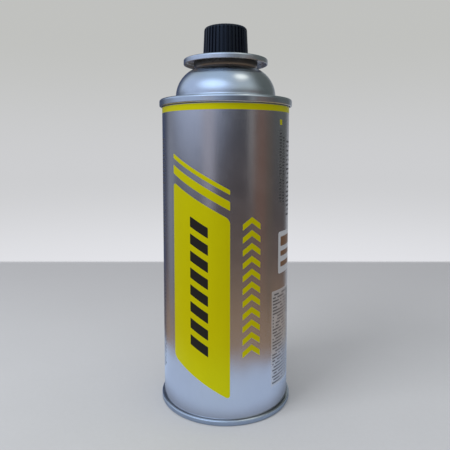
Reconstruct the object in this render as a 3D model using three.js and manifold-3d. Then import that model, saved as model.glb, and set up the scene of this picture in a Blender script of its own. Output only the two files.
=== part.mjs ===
import * as THREE from "three";
import { mergeVertices } from "three/addons/utils/BufferGeometryUtils.js";
import Module from "manifold-3d";

// Fuel canister: a sealed sheet-steel can with a folded seam at each end and a domed top, a valve cup
// clinched on its mouth, a notched locating collar, a sprung valve stem and a ribbed push-on cap.
// Millimetres, +Z up. The origin is the centre of the foot, and the front faces -Y.

// Can body
const bodyRadius = 33;
const wallHeight = 153.8; // floor to the underside of the top seam
const seamOverhang = 1.4; // how far both seams stand out from the wall
const seamWidth = 2.6;
const seamCorner = 0.7;
const footSeamHeight = 2.6;
const topSeamHeight = 3.7;
const basePanelHeight = 3.4; // edge of the recessed base panel above the floor
const baseCrown = 4.6; // how far the base panel bulges up into the can
const basePanelFillet = 1.2;

// Domed top
const countersinkDepth = 4.2; // groove between the top seam and the dome, below the seam's top
const countersinkWidth = 2.6;
const countersinkDraft = 0.4;
const countersinkFillet = 1;
const domeRadius = 25.9;
const domeArcRadius = 15.4;
const domeShoulderDrop = 0.3; // the dome's shoulder lies this far below the seam's top
const domeShoulderCorner = 0.5;
const domeFootFillet = 1.8;

// Mouth curl, which the valve cup wraps
const mouthRadius = 13.15;
const curlWidth = 2.45;
const curlHeight = 3.2; // above the dome where the curl meets it
const curlCorner = 0.9;

// Valve cup
const cupSheet = 0.5;
const cupGap = 0.3; // between the cup and the can
const cupDepth = 4.6; // top of the bead to the cup's floor
const cupFloorFillet = 0.9;
const beadCorner = 0.9;
const beadTaper = 0.4; // the bead widens this much from its lower edge to its shoulder
const pedestalRadius = 5.2;
const pedestalHeight = 5.2; // above the cup's floor
const pedestalCorner = 0.8;

// Locating collar
const collarRadius = 21.8;
const collarSheet = 0.7;
const collarRimDrop = 2.7; // height of the turned-down rim
const collarCorner = 0.8;
const notchWidth = 10;
const notchDepth = 4.4;

// Valve stem and its gasket
const stemRadius = 2;
const stemReach = 4.4; // above the pedestal
const stemBoreRadius = 0.9;
const stemBoreDepth = 5;
const stemChamfer = 0.35;
const stemClearance = 0.3; // round the stem in the gasket and the pedestal
const stemFlangeRadius = 3.1;
const stemFlangeThickness = 1.4;
const stemSeatGap = 0.2; // flange to gasket
const stemTravel = 2;
const stemWellClearance = 0.4;
const gasketThickness = 1.2;

// Cap
const capReach = 16.3; // above the collar
const capFit = 0.35; // round the cap's lower end in the cup
const capSeatGap = 0.3;
const capTaper = 1; // how much narrower the cap's top is than its lower end
const capWall = 1.6;
const capRoof = 1.7;
const capCorner = 1.7;
const capLeadIn = 0.8; // bevel that guides the lower end into the cup
const ribCount = 36;
const ribDepth = 0.45;
const ribCrestShare = 0.5; // of the pitch
const ribFlankShare = 0.12; // of the pitch, each flank

// Printed fields on the wall: angles in degrees from the front, positive towards +X
const bandHeight = 2.7;
const bandDrop = 0.7; // bare steel between the band and the top seam
const panelFrom = -50;
const panelTo = 5;
const panelLow = 21;
const panelHigh = 120;
const columnFrom = 17;
const columnTo = 28;
const columnLow = 34;
const columnHigh = 103;

// Facets round each piece
const canSegments = 64;
const collarSegments = 64;
const cupSegments = 40;
const stemSegments = 20;
const openCornerSteps = 2; // corners in plain view
const hiddenCornerSteps = 1; // corners in a groove, under a sheet or inside
const domeSteps = 7;
const footFilletSteps = 3;
const crownSteps = 4;

const steelColour = new THREE.Color(0xa9adb0);
const printColour = new THREE.Color(0xb4b000);

const steelMaterial = new THREE.MeshStandardMaterial({ color: 0xa9adb0, roughness: 0.32, metalness: 1 });
const printedSteelMaterial = new THREE.MeshStandardMaterial({
  vertexColors: true,
  roughness: 0.3,
  metalness: 0.85,
});
const cupMaterial = new THREE.MeshStandardMaterial({ color: 0xb4b0a2, roughness: 0.35, metalness: 1 });
const rubberMaterial = new THREE.MeshStandardMaterial({ color: 0x1b1b1b, roughness: 0.8, metalness: 0 });
const stemMaterial = new THREE.MeshStandardMaterial({ color: 0xd9d7cf, roughness: 0.45, metalness: 0 });
const capMaterial = new THREE.MeshStandardMaterial({ color: 0x12151c, roughness: 0.5, metalness: 0 });

// Heights and radii that follow from the driving sizes
const seamOuterRadius = bodyRadius + seamOverhang;
const seamInnerRadius = seamOuterRadius - seamWidth;
const seamTop = wallHeight + topSeamHeight;
const countersinkFloor = seamTop - countersinkDepth;
const countersinkOuterRadius = seamInnerRadius - countersinkDraft;
const countersinkInnerRadius = countersinkOuterRadius - countersinkWidth;
const domeShoulder = seamTop - domeShoulderDrop;
const domeArcHeight = domeShoulder + domeFootFillet;
const domeArcOffset = domeRadius - domeArcRadius;

const domeHeightAt = (radius) =>
  domeArcHeight + Math.sqrt(domeArcRadius ** 2 - (radius - domeArcOffset) ** 2);

const curlRadius = mouthRadius + curlWidth;
const curlTop = domeHeightAt(curlRadius) + curlHeight;
const beadTop = curlTop + cupGap + cupSheet;
const beadRadius = curlRadius + cupGap + cupSheet;
const beadLow = domeHeightAt(beadRadius) + cupGap;
const cupRadius = mouthRadius - cupGap - cupSheet;
const cupFloor = beadTop - cupDepth;
const cupUnderside = cupFloor - cupSheet;
const pedestalTop = cupFloor + pedestalHeight;
const pedestalInnerRadius = pedestalRadius - cupSheet;

const gasketTop = pedestalTop - cupSheet;
const gasketLow = gasketTop - gasketThickness;
const gasketRadius = pedestalInnerRadius - cupGap;
const stemHoleRadius = stemRadius + stemClearance;
const stemTop = pedestalTop + stemReach;
const stemFlangeTop = gasketLow - stemSeatGap;
const stemLow = stemFlangeTop - stemFlangeThickness;
const stemWellRadius = stemFlangeRadius + stemWellClearance;
const stemWellLow = stemLow - stemTravel - stemWellClearance;

const collarTop = beadTop + collarSheet;
const collarInnerRadius = cupRadius;

const capTop = collarTop + capReach;
const capLow = cupFloor + capSeatGap;
const capLowRadius = cupRadius - capFit;
const capTopRadius = capLowRadius - capTaper;

const bandTop = wallHeight - bandDrop;
const bandLow = bandTop - bandHeight;
const printedFields = [
  { from: -180, to: 180, low: bandLow, high: bandTop },
  { from: panelFrom, to: panelTo, low: panelLow, high: panelHigh },
  { from: columnFrom, to: columnTo, low: columnLow, high: columnHigh },
];

// An arc of a circle round (x, z), from one angle to another, as profile points.
function arc(x, z, radius, fromAngle, toAngle, steps) {
  return Array.from({ length: steps + 1 }, (_, i) => {
    const angle = fromAngle + ((toAngle - fromAngle) * i) / steps;
    return new THREE.Vector2(x + radius * Math.cos(angle), z + radius * Math.sin(angle));
  });
}

// A run of corners [x, z, rounding, steps], each rounded one turned into a short curve.
// An open run keeps its two ends sharp, and a loop returns to its first point.
function rounded(corners, { loop = false } = {}) {
  const points = [];
  const count = corners.length;
  corners.forEach(([x, z, rounding = 0, steps = openCornerSteps], i) => {
    const here = new THREE.Vector2(x, z);
    const atEnd = !loop && (i === 0 || i === count - 1);
    if (atEnd || rounding === 0) {
      points.push(here);
      return;
    }
    const [beforeX, beforeZ] = corners[(i + count - 1) % count];
    const [afterX, afterZ] = corners[(i + 1) % count];
    const back = new THREE.Vector2(beforeX - x, beforeZ - z);
    const on = new THREE.Vector2(afterX - x, afterZ - z);
    const half = Math.abs(back.angle() - on.angle()) / 2;
    const reach = Math.min(
      Math.abs(rounding / Math.tan(half)),
      back.length() / 2,
      on.length() / 2,
    );
    const start = here.clone().addScaledVector(back.normalize(), reach);
    const end = here.clone().addScaledVector(on.normalize(), reach);
    points.push(...new THREE.QuadraticBezierCurve(start, here, end).getPoints(steps));
  });
  if (loop) points.push(points[0].clone());
  return points;
}

// A solid of revolution about +Z; the seam of the revolve lies at the back.
function revolved(profile, segments) {
  const geometry = new THREE.LatheGeometry(profile, segments, Math.PI);
  geometry.rotateX(Math.PI / 2);
  return geometry;
}

function vector(x, z) {
  return new THREE.Vector2(x, z);
}

function meshOf(name, geometry, material) {
  const mesh = new THREE.Mesh(geometry, material);
  mesh.name = name;
  return mesh;
}

const wasm = await Module();
wasm.setup();

function solidOf(geometry) {
  const bare = geometry.clone();
  bare.deleteAttribute("normal");
  bare.deleteAttribute("uv");
  const merged = mergeVertices(bare, 1e-3);
  return new wasm.Manifold(
    new wasm.Mesh({
      numProp: 3,
      vertProperties: merged.attributes.position.array,
      triVerts: new Uint32Array(merged.index.array),
    }),
  );
}

function geometryOf(solid) {
  const { vertProperties, triVerts } = solid.getMesh();
  const geometry = new THREE.BufferGeometry();
  geometry.setAttribute("position", new THREE.BufferAttribute(vertProperties, 3));
  geometry.setIndex(new THREE.BufferAttribute(triVerts, 1));
  const faceted = geometry.toNonIndexed();
  faceted.computeVertexNormals();
  return faceted;
}

// The sealed can. Its contents fill it, so only the outside and the pocket for the valve are shaped.
function canProfile() {
  const panelRadius = seamInnerRadius - basePanelFillet;
  const crownRadius = (panelRadius ** 2 + baseCrown ** 2) / (2 * baseCrown);
  const crownAngle = Math.asin(panelRadius / crownRadius);
  const crownCentre = basePanelHeight + baseCrown - crownRadius;
  const crown = arc(0, crownCentre, crownRadius, Math.PI / 2, Math.PI / 2 - crownAngle, crownSteps);

  const foot = rounded([
    [panelRadius, basePanelHeight],
    [seamInnerRadius, basePanelHeight, basePanelFillet, hiddenCornerSteps],
    [seamInnerRadius, 0, seamCorner, hiddenCornerSteps],
    [seamOuterRadius, 0, seamCorner, hiddenCornerSteps],
    [seamOuterRadius, footSeamHeight, seamCorner],
    [bodyRadius, footSeamHeight],
  ]);

  const printEdges = new Set(printedFields.flatMap(({ low, high }) => [low, high]));
  const wall = [...printEdges].sort((a, b) => a - b).map((z) => vector(bodyRadius, z));

  const topSeam = rounded([
    [bodyRadius, wallHeight],
    [seamOuterRadius, wallHeight, seamCorner, hiddenCornerSteps],
    [seamOuterRadius, seamTop, seamCorner],
    [seamInnerRadius, seamTop, seamCorner],
    [countersinkOuterRadius, countersinkFloor, countersinkFillet, hiddenCornerSteps],
    [countersinkInnerRadius, countersinkFloor, countersinkFillet, hiddenCornerSteps],
    [countersinkInnerRadius, domeShoulder, domeShoulderCorner, hiddenCornerSteps],
    [domeRadius + domeFootFillet, domeShoulder],
  ]);

  const footFillet = arc(
    domeRadius + domeFootFillet,
    domeArcHeight,
    domeFootFillet,
    -Math.PI / 2,
    -Math.PI,
    footFilletSteps,
  );
  const neckAngle = Math.acos((curlRadius - domeArcOffset) / domeArcRadius);
  const dome = arc(domeArcOffset, domeArcHeight, domeArcRadius, 0, neckAngle, domeSteps);

  const pocketFloor = cupUnderside - cupGap;
  const coreRadius = gasketRadius;
  const mouth = rounded([
    [curlRadius, domeHeightAt(curlRadius)],
    [curlRadius, curlTop, curlCorner, hiddenCornerSteps],
    [mouthRadius, curlTop, curlCorner, hiddenCornerSteps],
    [mouthRadius, pocketFloor],
    [coreRadius, pocketFloor],
    [coreRadius, gasketLow],
    [stemWellRadius, gasketLow],
    [stemWellRadius, stemWellLow],
    [0, stemWellLow],
  ]);

  return [
    ...crown,
    ...foot.slice(1),
    ...wall,
    ...topSeam,
    ...footFillet.slice(1),
    ...dome.slice(1),
    ...mouth.slice(1),
  ];
}

// Gives each facet of the wall the colour of the printed field that its middle lies in.
function printed(geometry) {
  const faceted = geometry.toNonIndexed();
  const { position } = faceted.attributes;
  const facetAngle = 360 / canSegments;
  const colours = new Float32Array(position.count * 3);
  const corner = new THREE.Vector3();
  for (let first = 0; first < position.count; first += 3) {
    const middle = new THREE.Vector3();
    let widest = 0;
    for (let i = first; i < first + 3; i += 1) {
      corner.fromBufferAttribute(position, i);
      middle.addScaledVector(corner, 1 / 3);
      widest = Math.max(widest, Math.hypot(corner.x, corner.y));
    }
    const turn = THREE.MathUtils.radToDeg(Math.atan2(middle.x, -middle.y));
    const angle = (Math.floor(turn / facetAngle) + 0.5) * facetAngle;
    const onWall = Math.abs(widest - bodyRadius) < seamOverhang / 2;
    const inField = printedFields.some(
      ({ from, to, low, high }) =>
        angle > from && angle < to && middle.z > low && middle.z < high,
    );
    const colour = onWall && inField ? printColour : steelColour;
    for (let i = first; i < first + 3; i += 1) colour.toArray(colours, i * 3);
  }
  faceted.setAttribute("color", new THREE.BufferAttribute(colours, 3));
  return faceted;
}

function makeCan() {
  return meshOf("can", printed(revolved(canProfile(), canSegments)), printedSteelMaterial);
}

// One drawn sheet: a bead wrapped over the mouth curl, a recess, and a pedestal round the stem.
function makeValveCup() {
  const channelTop = beadTop - cupSheet;
  const channelOuterRadius = beadRadius - cupSheet;
  const channelInnerRadius = cupRadius + cupSheet;
  const beadShoulder = beadRadius + beadTaper;
  const profile = rounded(
    [
      [beadRadius, beadLow],
      [beadShoulder, beadTop, beadCorner],
      [cupRadius, beadTop],
      [cupRadius, cupFloor, cupFloorFillet, hiddenCornerSteps],
      [pedestalRadius, cupFloor],
      [pedestalRadius, pedestalTop, pedestalCorner],
      [stemHoleRadius, pedestalTop],
      [stemHoleRadius, gasketTop],
      [pedestalInnerRadius, gasketTop],
      [pedestalInnerRadius, cupUnderside],
      [channelInnerRadius, cupUnderside],
      [channelInnerRadius, channelTop],
      [channelOuterRadius, channelTop],
      [channelOuterRadius, beadLow],
    ],
    { loop: true },
  );
  return meshOf("valve_cup", revolved(profile, cupSegments), cupMaterial);
}

// A pressed ring with its rim turned down, and one notch at the back that sets the can's angle.
function makeCollar() {
  const rimInnerRadius = collarRadius - collarSheet;
  const profile = rounded(
    [
      [collarInnerRadius, beadTop],
      [rimInnerRadius, beadTop],
      [rimInnerRadius, collarTop - collarRimDrop],
      [collarRadius, collarTop - collarRimDrop],
      [collarRadius, collarTop, collarCorner],
      [collarInnerRadius, collarTop],
    ],
    { loop: true },
  );
  const ring = solidOf(revolved(profile, collarSegments));
  const notch = new THREE.BoxGeometry(notchWidth, 2 * notchDepth, 2 * collarRimDrop);
  notch.translate(0, collarRadius, collarTop - collarRimDrop / 2);
  return meshOf("collar", geometryOf(ring.subtract(solidOf(notch))), steelMaterial);
}

function makeStemGasket() {
  const profile = [
    vector(stemHoleRadius, gasketLow),
    vector(gasketRadius, gasketLow),
    vector(gasketRadius, gasketTop),
    vector(stemHoleRadius, gasketTop),
    vector(stemHoleRadius, gasketLow),
  ];
  return meshOf("stem_gasket", revolved(profile, stemSegments), rubberMaterial);
}

// A flanged tube, open at the top: the flange bears on the gasket from below.
function makeValveStem() {
  const profile = rounded([
    [0, stemLow],
    [stemFlangeRadius, stemLow, stemChamfer],
    [stemFlangeRadius, stemFlangeTop],
    [stemRadius, stemFlangeTop],
    [stemRadius, stemTop, stemChamfer],
    [stemBoreRadius, stemTop],
    [stemBoreRadius, stemTop - stemBoreDepth],
    [0, stemTop - stemBoreDepth],
  ]);
  return meshOf("valve_stem", revolved(profile, stemSegments), stemMaterial);
}

// The ribbed outside of the cap at one height, as points round the axis.
function ribbedSection(crestRadius, depth, z) {
  const pitch = (2 * Math.PI) / ribCount;
  const crestHalf = (ribCrestShare / 2) * pitch;
  const valleyHalf = pitch / 2 - crestHalf - ribFlankShare * pitch;
  const section = [];
  for (let rib = 0; rib < ribCount; rib += 1) {
    const middle = rib * pitch;
    const corners = [
      [middle - crestHalf, crestRadius],
      [middle + crestHalf, crestRadius],
      [middle + pitch / 2 - valleyHalf, crestRadius - depth],
      [middle + pitch / 2 + valleyHalf, crestRadius - depth],
    ];
    for (const [angle, radius] of corners) {
      section.push(new THREE.Vector3(radius * Math.sin(angle), -radius * Math.cos(angle), z));
    }
  }
  return section;
}

// Skins a stack of equal-count sections, lowest first, and closes both ends with a fan.
function lofted(sections) {
  const count = sections[0].length;
  const points = sections.flat();
  const lowCentre = points.length;
  const topCentre = lowCentre + 1;
  points.push(new THREE.Vector3(0, 0, sections[0][0].z));
  points.push(new THREE.Vector3(0, 0, sections.at(-1)[0].z));
  const lastRow = (sections.length - 1) * count;
  const faces = [];
  for (let i = 0; i < count; i += 1) {
    const next = (i + 1) % count;
    for (let row = 0; row < lastRow; row += count) {
      faces.push(row + i, row + next, row + count + next);
      faces.push(row + i, row + count + next, row + count + i);
    }
    faces.push(lowCentre, next, i);
    faces.push(topCentre, lastRow + i, lastRow + next);
  }
  const geometry = new THREE.BufferGeometry().setFromPoints(points);
  geometry.setIndex(faces);
  return geometry;
}

// A ribbed, tapering cup upside down, with a rounded top edge where the ribs run out.
function makeCap() {
  const cornerLow = capTop - capCorner;
  const radiusAt = (z) => capLowRadius - (capTaper * (z - capLow)) / (capTop - capLow);
  const leadInTop = capLow + capLeadIn;
  const sections = [
    ribbedSection(capLowRadius - capLeadIn, ribDepth, capLow),
    ribbedSection(radiusAt(leadInTop), ribDepth, leadInTop),
    ribbedSection(radiusAt(cornerLow), ribDepth, cornerLow),
  ];
  for (const share of [0.5, 1]) {
    const turn = (share * Math.PI) / 2;
    const inset = capCorner * (1 - Math.cos(turn));
    const z = cornerLow + capCorner * Math.sin(turn);
    sections.push(ribbedSection(radiusAt(cornerLow) - inset, ribDepth * (1 - share), z));
  }
  const hollow = revolved(
    [
      vector(0, capLow - capRoof),
      vector(capLowRadius - capWall, capLow - capRoof),
      vector(capLowRadius - capWall, capLow),
      vector(capTopRadius - capWall, capTop - capRoof),
      vector(0, capTop - capRoof),
    ],
    ribCount,
  );
  const cap = solidOf(lofted(sections)).subtract(solidOf(hollow));
  return meshOf("cap", geometryOf(cap), capMaterial);
}

const canister = new THREE.Group();
canister.name = "fuel_canister";
canister.add(makeCan(), makeValveCup(), makeCollar(), makeStemGasket(), makeValveStem(), makeCap());

export default canister;
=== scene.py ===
import math

import bmesh
import bpy
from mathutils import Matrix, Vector


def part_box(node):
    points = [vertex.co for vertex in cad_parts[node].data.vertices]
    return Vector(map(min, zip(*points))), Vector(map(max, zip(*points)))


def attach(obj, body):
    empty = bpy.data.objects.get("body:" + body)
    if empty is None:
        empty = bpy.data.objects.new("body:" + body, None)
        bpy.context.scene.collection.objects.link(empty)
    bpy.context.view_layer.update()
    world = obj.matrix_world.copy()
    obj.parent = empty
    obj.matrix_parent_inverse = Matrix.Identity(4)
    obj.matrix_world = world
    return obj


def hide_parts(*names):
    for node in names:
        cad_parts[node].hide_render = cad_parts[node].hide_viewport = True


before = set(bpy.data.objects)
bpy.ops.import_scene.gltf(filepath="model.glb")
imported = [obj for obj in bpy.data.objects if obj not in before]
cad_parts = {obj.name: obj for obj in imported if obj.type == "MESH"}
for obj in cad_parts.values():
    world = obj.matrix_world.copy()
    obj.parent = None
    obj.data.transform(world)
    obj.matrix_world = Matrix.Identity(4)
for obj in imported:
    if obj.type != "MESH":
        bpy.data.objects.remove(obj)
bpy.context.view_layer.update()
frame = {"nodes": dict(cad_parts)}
mm = 0.001
print("frame loaded:", ", ".join(frame["nodes"]))

# Camera, straight in front of the can and a little below its top seam
camera = {
    "place": (-0.00099, -0.25053, 0.13265),
    "tilt": 4.57,  # degrees below level
    "lens": 37.85,
    "shift": (0.0028, -0.0867),  # the frame lies a little below the line of sight
}


def makeCamera():
    data = bpy.data.cameras.new("camera")
    data.lens = camera["lens"]
    data.shift_x, data.shift_y = camera["shift"]
    data.clip_start = 0.01
    eye = bpy.data.objects.new("camera", data)
    eye.location = camera["place"]
    eye.rotation_euler = (math.radians(90 - camera["tilt"]), 0, 0)
    bpy.context.collection.objects.link(eye)
    bpy.context.scene.camera = eye


makeCamera()


# Profiles are lists of (radius, height) in millimetres, and run so that the metal lies on their left
def roundedPath(corners, loop=False, stepAngle=11, share=0.499):
    points = []
    for index, (x, z, *rounding) in enumerate(corners):
        here = Vector((x, z))
        atEnd = not loop and index in (0, len(corners) - 1)
        if atEnd or not rounding:
            points.append(here)
            continue
        back = Vector(corners[index - 1][:2]) - here
        ahead = Vector(corners[(index + 1) % len(corners)][:2]) - here
        half = back.angle(ahead) / 2
        longest = share * min(back.length, ahead.length)
        reach = min(rounding[0] / math.tan(half), longest)
        radius = reach * math.tan(half)
        back.normalize()
        ahead.normalize()
        centre = here + (back + ahead).normalized() * (radius / math.sin(half))
        start = here + back * reach - centre
        end = here + ahead * reach - centre
        first = math.atan2(start.y, start.x)
        sweep = math.atan2(start.x * end.y - start.y * end.x, start.dot(end))
        steps = max(2, round(abs(math.degrees(sweep)) / stepAngle))
        points += [onCircle(centre, radius, first + sweep * step / steps) for step in range(steps + 1)]
    return points


def onCircle(centre, radius, angle):
    return Vector((centre[0] + radius * math.cos(angle), centre[1] + radius * math.sin(angle)))


def arcPath(centre, radius, start, end, steps):
    turns = [start + (end - start) * step / steps for step in range(steps + 1)]
    return [onCircle(centre, radius, math.radians(turn)) for turn in turns]


def supported(path, loop=False, inset=0.12, longRun=8):
    # A long straight run gets a point near each end, so that rounded corners don't shade across it
    result = []
    ends = path[1:] + path[:1] if loop else path[1:]
    for here, there in zip(path, ends):
        result.append(here)
        length = (there - here).length
        if length > longRun * inset:
            result.append(here.lerp(there, inset / length))
            result.append(here.lerp(there, 1 - inset / length))
    return result if loop else result + [path[-1]]


def revolve(name, path, columns, loop=False, weights=None, onAxis=1e-6):
    shape = bmesh.new()
    weightLayer = shape.verts.layers.float.new("ribWeight") if weights else None
    rings = []
    for row, (x, z) in enumerate(path):
        count = columns if x > onAxis else 1
        ring = []
        for column in range(count):
            angle = 2 * math.pi * column / columns
            ring.append(shape.verts.new((x * mm * math.sin(angle), -x * mm * math.cos(angle), z * mm)))
            if weights:
                ring[-1][weightLayer] = weights[row]
        rings.append(ring)
    for low, high in zip(rings, rings[1:] + rings[:1] if loop else rings[1:]):
        for column in range(columns):
            after = (column + 1) % columns
            corners = [low[column % len(low)], low[after % len(low)]]
            corners += [high[after % len(high)], high[column % len(high)]]
            shape.faces.new(list(dict.fromkeys(corners)))
    mesh = bpy.data.meshes.new(name)
    shape.to_mesh(mesh)
    shape.free()
    piece = bpy.data.objects.new(name, mesh)
    bpy.context.collection.objects.link(piece)
    return piece


def smooth(piece, sharpAngle=32):
    piece.data.shade_smooth()
    piece.data.set_sharp_from_angle(angle=math.radians(sharpAngle))


def baked(piece):
    # The evaluated mesh takes the place of the piece's own, and its modifiers go
    scene = bpy.context.evaluated_depsgraph_get()
    mesh = bpy.data.meshes.new_from_object(piece.evaluated_get(scene))
    piece.modifiers.clear()
    piece.data = mesh
    mesh.name = piece.name


def finishPiece(piece, body, node):
    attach(piece, body)
    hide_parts(node)
    print("made", piece.name, len(piece.data.polygons), "faces")


def reachOf(node):
    low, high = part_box(node)
    return high[0] / mm, low[2] / mm, high[2] / mm


seamRadius, _, curlTop = reachOf("can")
beadShoulder, cupUnderside, pedestalTop = reachOf("valve_cup")
collarRadius, collarLow, collarTop = reachOf("collar")
gasketRadius, gasketLow, gasketTop = reachOf("stem_gasket")
flangeRadius, stemLow, stemTop = reachOf("valve_stem")
_, capLow, capTop = reachOf("cap")
wallRadius = 33.0  # of the can between its seams


# Shader nodes
def put(tree, kind, **settings):
    node = tree.nodes.new(kind)
    for name, value in settings.items():
        setattr(node, name, value)
    return node


def feed(tree, socket, value):
    if isinstance(value, bpy.types.NodeSocket):
        tree.links.new(value, socket)
    else:
        socket.default_value = value


def feedAll(tree, sockets, values):
    for socket, value in zip(sockets, values):
        feed(tree, socket, value)


def calc(tree, operation, *values):
    node = put(tree, "ShaderNodeMath", operation=operation)
    feedAll(tree, node.inputs, values)
    return node.outputs[0]


def times(tree, first, second):
    return calc(tree, "MULTIPLY", first, second)


def minus(tree, first, second):
    return calc(tree, "SUBTRACT", first, second)


def fade(tree, value, start, end):
    # Runs smoothly from 0 at the start to 1 at the end
    node = put(tree, "ShaderNodeMapRange", interpolation_type="SMOOTHSTEP")
    feedAll(tree, node.inputs, (value, start, end))
    return node.outputs[0]


def blendColour(tree, factor, first, second):
    node = put(tree, "ShaderNodeMix", data_type="RGBA")
    ends = [(*value, 1.0) if isinstance(value, tuple) else value for value in (first, second)]
    feedAll(tree, (node.inputs[0], node.inputs[6], node.inputs[7]), (factor, *ends))
    return node.outputs[2]


def blendValue(tree, factor, first, second):
    node = put(tree, "ShaderNodeMix", data_type="FLOAT")
    feedAll(tree, (node.inputs[0], node.inputs[2], node.inputs[3]), (factor, first, second))
    return node.outputs[0]


def noise(tree, vector, scale, detail, roughness):
    node = put(tree, "ShaderNodeTexNoise")
    feed(tree, node.inputs["Vector"], vector)
    node.inputs["Scale"].default_value = scale
    node.inputs["Detail"].default_value = detail
    node.inputs["Roughness"].default_value = roughness
    return node.outputs[0]


def stretched(tree, vector, scale):
    node = put(tree, "ShaderNodeMapping")
    feed(tree, node.inputs["Vector"], vector)
    node.inputs["Scale"].default_value = scale
    return node.outputs[0]


def triple(tree, x, y, z):
    node = put(tree, "ShaderNodeCombineXYZ")
    feedAll(tree, node.inputs, (x, y, z))
    return node.outputs[0]


def separated(tree, vector):
    node = put(tree, "ShaderNodeSeparateXYZ")
    feed(tree, node.inputs[0], vector)
    return node.outputs


def hypotenuse(tree, x, y):
    squares = calc(tree, "ADD", calc(tree, "POWER", x, 2.0), calc(tree, "POWER", y, 2.0))
    return calc(tree, "SQRT", squares)


def angleFromFront(tree, x, y):
    return calc(tree, "ARCTAN2", x, times(tree, y, -1.0))


def makeGroup(name, inputs, outputs, build):
    # An input is a number with this default, or a vector where there is none; outputs are numbers
    tree = bpy.data.node_groups.new(name, "ShaderNodeTree")
    for label, value in inputs.items():
        kind = "NodeSocketVector" if value is None else "NodeSocketFloat"
        socket = tree.interface.new_socket(name=label, in_out="INPUT", socket_type=kind)
        if value is not None:
            socket.default_value = value
    for label in outputs:
        tree.interface.new_socket(name=label, in_out="OUTPUT", socket_type="NodeSocketFloat")
    entry = put(tree, "NodeGroupInput")
    result = build(tree, entry.outputs)
    leave = put(tree, "NodeGroupOutput")
    for label, value in result.items():
        tree.links.new(value, leave.inputs[label])
    return tree


def useGroup(tree, group, **values):
    node = put(tree, "ShaderNodeGroup", node_tree=group)
    for label, value in values.items():
        feed(tree, node.inputs[label], value)
    return node.outputs


# Where a point lies on the can, in millimetres: around the wall from the front, height, and radius
def buildPlace(tree, given):
    x, y, z = separated(tree, given["Position"])
    return {
        "Around": times(tree, angleFromFront(tree, x, y), given["Wall Radius"]),
        "Height": times(tree, z, 1 / mm),
        "Radius": times(tree, hypotenuse(tree, x, y), 1 / mm),
    }


placeOnCan = makeGroup(
    "placeOnCan",
    {"Position": None, "Wall Radius": wallRadius},
    ["Around", "Height", "Radius"],
    buildPlace,
)

sheetNoise = {
    "streaks": (1.0, 3.0, 0.6),  # scale, detail and roughness of each noise
    "streakRun": 0.03,  # the streaks' scale along their length, beside the one across them
    "clouds": (95.0, 3.0, 0.55),
    "cloudShare": 0.5,
    "speckle": (2600.0, 1.0, 0.5),
    "speckleShare": 0.1,
    "marks": (260.0, 4.0, 0.7),
    "marksStretch": (1.0, 1.0, 0.25),
    "marksFade": (0.66, 0.8),
}


# A rolled or spun sheet's grain: fine streaks along one way, cloudy tin flow, and a few handling marks
def buildGrain(tree, given):
    position = given["Position"]
    across = times(tree, given["Across"], given["Streaks"])
    run = times(tree, given["Streaks"], sheetNoise["streakRun"])
    along = times(tree, given["Along"], run)
    streaks = noise(tree, triple(tree, across, along, 0.0), *sheetNoise["streaks"])
    clouds = noise(tree, position, *sheetNoise["clouds"])
    speckle = noise(tree, position, *sheetNoise["speckle"])
    worn = noise(tree, stretched(tree, position, sheetNoise["marksStretch"]), *sheetNoise["marks"])
    return {
        "Shade": blendValue(tree, sheetNoise["cloudShare"], streaks, clouds),
        "Clouds": clouds,
        "Marks": fade(tree, worn, *sheetNoise["marksFade"]),
        "Height": blendValue(tree, sheetNoise["speckleShare"], streaks, speckle),
    }


sheetGrain = makeGroup(
    "sheetGrain",
    {"Position": None, "Across": 0.0, "Along": 0.0, "Streaks": 6.0},
    ["Shade", "Clouds", "Marks", "Height"],
    buildGrain,
)


# One printed shape: a rectangle with rounded corners round the origin of (Across, Up), in millimetres
def buildShape(tree, given):
    def beyond(value, half):
        inner = minus(tree, given[half], given["Corner"])
        past = minus(tree, calc(tree, "ABSOLUTE", given[value]), inner)
        return calc(tree, "MAXIMUM", past, 0.0)

    far = hypotenuse(tree, beyond("Across", "Half Width"), beyond("Up", "Half Height"))
    edge = minus(tree, far, given["Corner"])
    soft = given["Softness"]
    return {"Mask": fade(tree, edge, soft, times(tree, soft, -1.0))}


printedShape = makeGroup(
    "printedShape",
    {"Across": 0.0, "Up": 0.0, "Half Width": 5.0, "Half Height": 2.0, "Corner": 0.5, "Softness": 0.05},
    ["Mask"],
    buildShape,
)


def startMaterial(name):
    material = bpy.data.materials.new(name)
    material.use_nodes = True
    tree = material.node_tree
    shader = tree.nodes["Principled BSDF"]
    position = put(tree, "ShaderNodeTexCoord").outputs["Object"]
    return material, tree, shader, position


def bump(tree, shader, height, distance, strength):
    node = put(tree, "ShaderNodeBump")
    node.inputs["Strength"].default_value = strength
    node.inputs["Distance"].default_value = distance
    feed(tree, node.inputs["Height"], height)
    tree.links.new(node.outputs["Normal"], shader.inputs["Normal"])


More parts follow.
